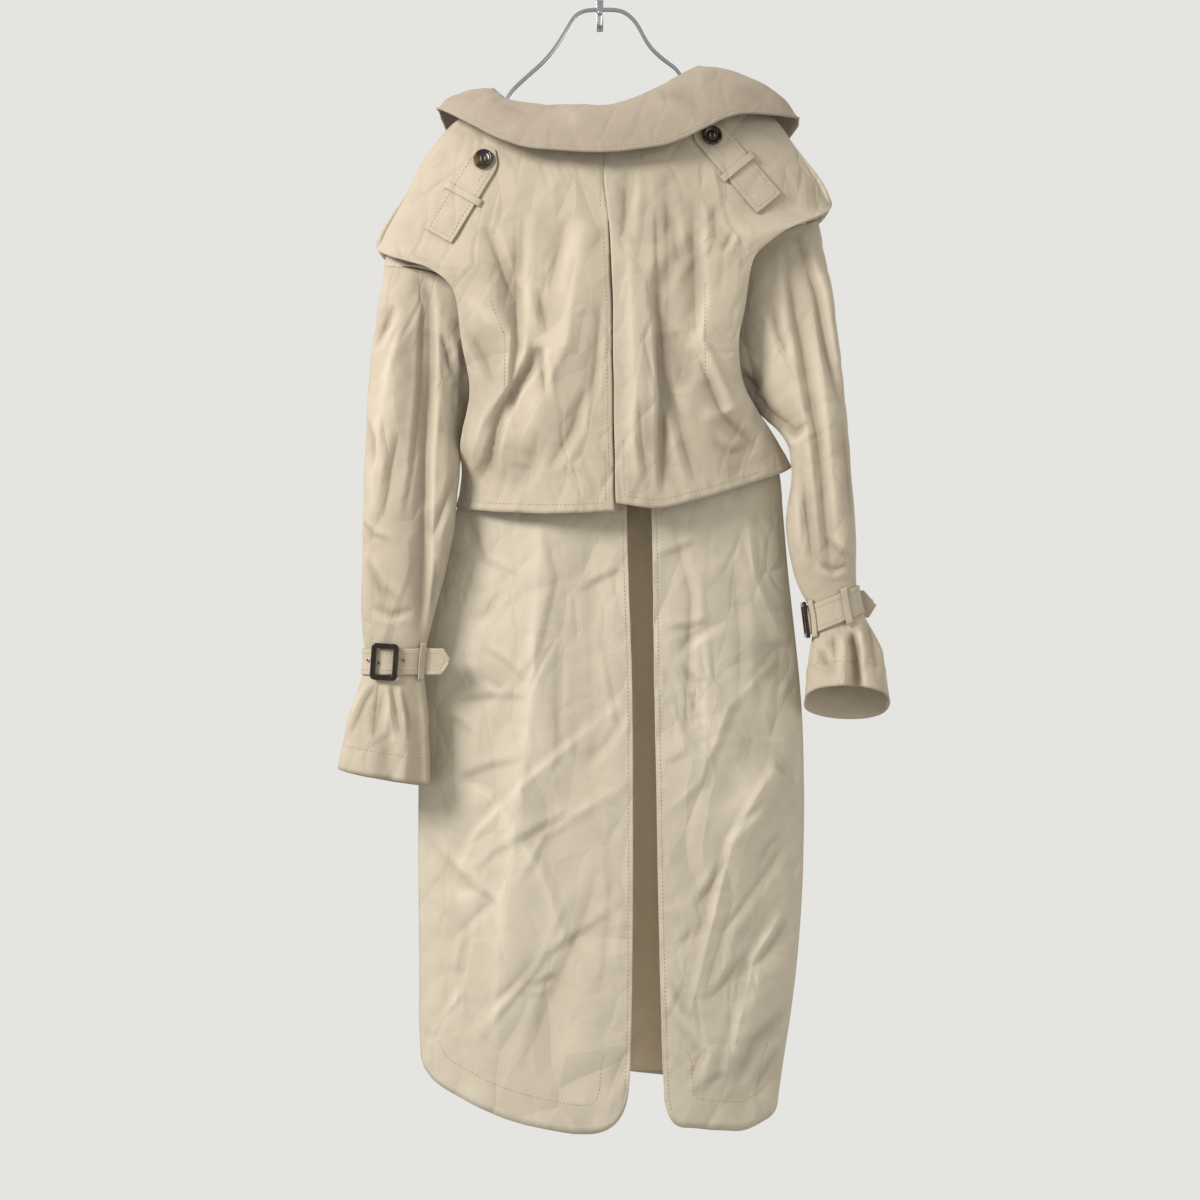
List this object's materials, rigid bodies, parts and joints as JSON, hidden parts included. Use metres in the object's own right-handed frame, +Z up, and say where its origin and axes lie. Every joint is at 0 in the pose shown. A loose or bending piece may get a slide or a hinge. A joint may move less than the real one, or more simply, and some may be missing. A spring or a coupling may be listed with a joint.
{
  "type": "trench coat on wire hanger and wall hook",
  "caption": "Beige trench coat with storm cape, wide collar, shoulder straps and cuff straps, hung on a chrome wire hanger from a small wall hook.",
  "frame": {"origin": "middle of the hook plate's back face, on the wall", "axes": "+Y out of the hook plate's back face into the wall, +Z up, +X to the right of a viewer who faces the wall; the coat's back faces -Y"},
  "size_m": [0.604, 0.1194, 1.2631],
  "materials": {
    "cloth": "beige cotton twill, matte, with soft sheen",
    "horn": "dark horn-like button resin, marbled, glossy",
    "tortoise": "dark brown tortoise-like buckle resin, glossy",
    "chrome": "bright chromed steel"
  },
  "bodies": {
    "root": {"back_left": "cloth", "back_right": "cloth", "back_pleat": "cloth", "front_left": "cloth", "front_right": "cloth", "cape_back_left": "cloth", "cape_back_right": "cloth", "cape_front_left": "cloth", "cape_front_right": "cloth", "cape_pleat": "cloth", "sleeve_left": "cloth", "sleeve_right": "cloth", "collar_stand": "cloth", "collar_leaf": "cloth", "epaulet_left": "cloth", "epaulet_right": "cloth", "epaulet_loop_left": "cloth", "epaulet_loop_right": "cloth", "epaulet_button_left": "horn", "epaulet_button_right": "horn", "front_button_1_1": "horn", "front_button_1_2": "horn", "front_button_1_3": "horn", "front_button_2_1": "horn", "front_button_2_2": "horn", "front_button_2_3": "horn", "cuff_strap_left": "cloth", "cuff_strap_right": "cloth", "cuff_loop_left_1": "cloth", "cuff_loop_left_2": "cloth", "cuff_loop_right_1": "cloth", "cuff_loop_right_2": "cloth", "cuff_buckle_left": "tortoise", "cuff_buckle_right": "tortoise", "hanger_wire": "chrome", "hook_peg": "chrome", "hook_plate": "chrome"}
  },
  "joints": []
}
